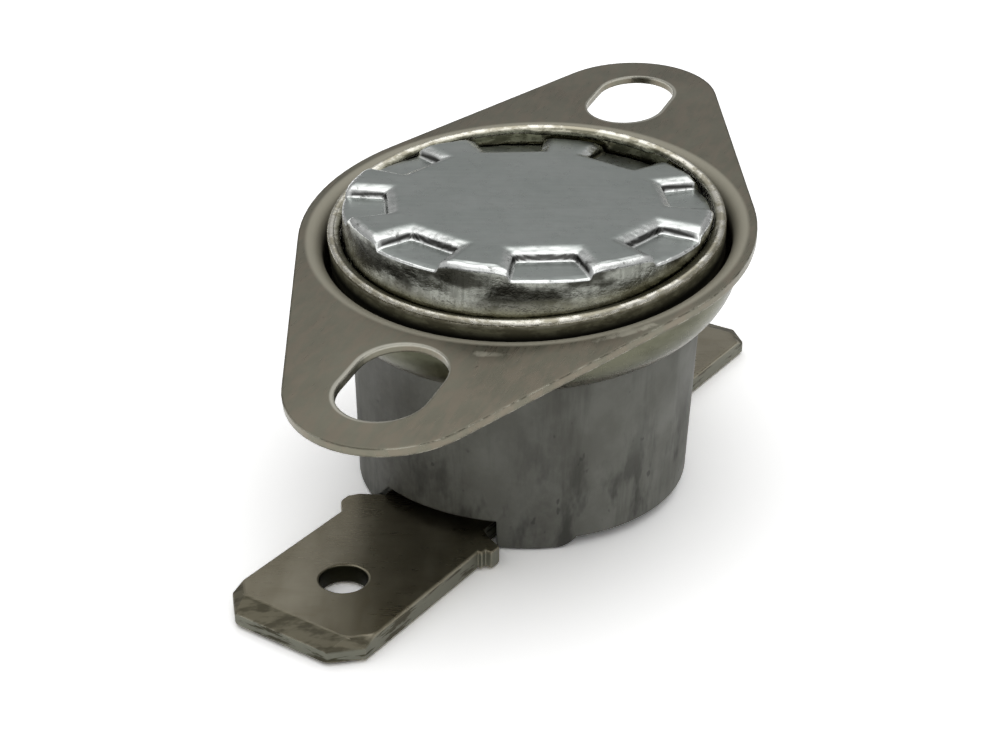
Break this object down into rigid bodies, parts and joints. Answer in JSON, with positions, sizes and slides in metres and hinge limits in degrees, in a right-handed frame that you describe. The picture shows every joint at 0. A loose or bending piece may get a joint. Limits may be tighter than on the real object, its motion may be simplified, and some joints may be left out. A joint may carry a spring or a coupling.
{
  "type": "high limit thermostat",
  "caption": "Snap-action high limit switch with a ceramic body, aluminium sensing cap, loose two-eared mounting bracket and flat push-on terminals.",
  "frame": {"origin": "on the axis of the ceramic body, at the level of its four feet, so the part stands on z = 0", "axes": "+Z along the body's axis from the feet to the sensing cap, +Y along the rear terminal and -Y along the front terminal, +X across the terminals"},
  "size_m": [0.0187, 0.0328, 0.0138],
  "materials": {
    "bracket_steel": "dull nickel plate with fine scratches",
    "cap_aluminium": "matt, mottled",
    "bimetal": "bright rolled strip",
    "phenolic": "moulded brown resin",
    "pin_ceramic": "unglazed white",
    "body_ceramic": "unglazed grey-white with dark specks",
    "terminal_brass": "dull nickel plate on brass",
    "rivet_brass": "dull nickel plate on brass",
    "carrier_brass": "rolled brass",
    "contact_silver": "dull silver",
    "spring_bronze": "rolled spring bronze"
  },
  "bodies": {
    "thermostat": {"ceramic_body": "body_ceramic", "sensing_cap": "cap_aluminium", "bimetal_disc": "bimetal", "guide_plate": "phenolic", "front_terminal": "terminal_brass", "rear_terminal": "terminal_brass", "front_rivet": "rivet_brass", "rear_rivet": "rivet_brass", "contact_bridge": "carrier_brass", "fixed_contact": "contact_silver", "contact_post": "carrier_brass"},
    "bracket": {"mounting_bracket": "bracket_steel"},
    "pin": {"transfer_pin": "pin_ceramic"},
    "arm": {"contact_arm": "spring_bronze", "moving_contact": "contact_silver"}
  },
  "joints": [
    {"name": "bracket_swivel", "type": "hinge", "parent": "thermostat", "child": "bracket", "pos_m": [0, 0, 0.0101], "axis": [0, 0, 1], "continuous": true},
    {"name": "pin_slide", "type": "slide", "parent": "thermostat", "child": "pin", "axis": [0, 0, -1], "range_m": [0, 0.00045], "deforming": ["bimetal_disc"]},
    {"name": "arm_flex", "type": "hinge", "parent": "thermostat", "child": "arm", "pos_m": [0, 0.00341, 0.0064], "axis": [1, 0, 0], "range_deg": [0, 7.6], "stiffness_Nm_per_rad": 0.01, "springref_deg": -5.73}
  ],
  "couplings": [
    {"joint": "arm_flex", "follows": "pin_slide", "rad_per_m": 291.9}
  ]
}
